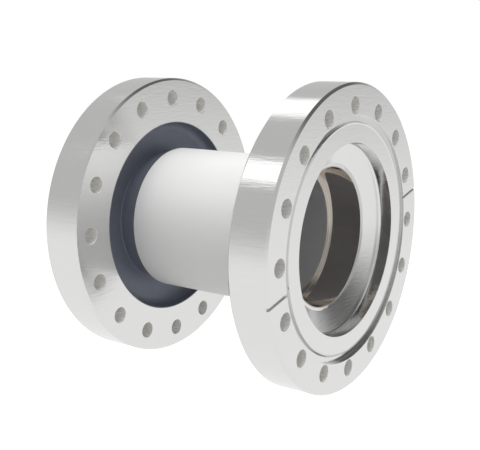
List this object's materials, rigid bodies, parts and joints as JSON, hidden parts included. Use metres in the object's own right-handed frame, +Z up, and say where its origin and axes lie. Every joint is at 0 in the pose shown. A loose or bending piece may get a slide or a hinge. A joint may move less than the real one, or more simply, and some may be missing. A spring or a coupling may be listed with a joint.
{
  "type": "ceramic vacuum break",
  "caption": "Electrically insulating ceramic tube between two round bolted knife-edge vacuum flanges.",
  "frame": {"origin": "middle of the part, on the axis of the bore, halfway between the two bolt faces", "axes": "+X along the bore axis, out of the front flange's bolt face; +Z up, through the first bolt hole"},
  "size_m": [0.1322, 0.1516, 0.1516],
  "materials": {
    "stainless_steel": "fine turned",
    "cup_metal": "dull blue-grey sheet",
    "sleeve_metal": "polished sheet",
    "braze": "satin",
    "alumina": "satin white"
  },
  "bodies": {
    "root": {"front_flange": "stainless_steel", "rear_flange": "stainless_steel", "front_expansion_cup": "cup_metal", "rear_expansion_cup": "cup_metal", "front_seal_sleeve": "sleeve_metal", "rear_seal_sleeve": "sleeve_metal", "front_braze_ring": "braze", "rear_braze_ring": "braze", "ceramic_tube": "alumina"}
  },
  "joints": []
}
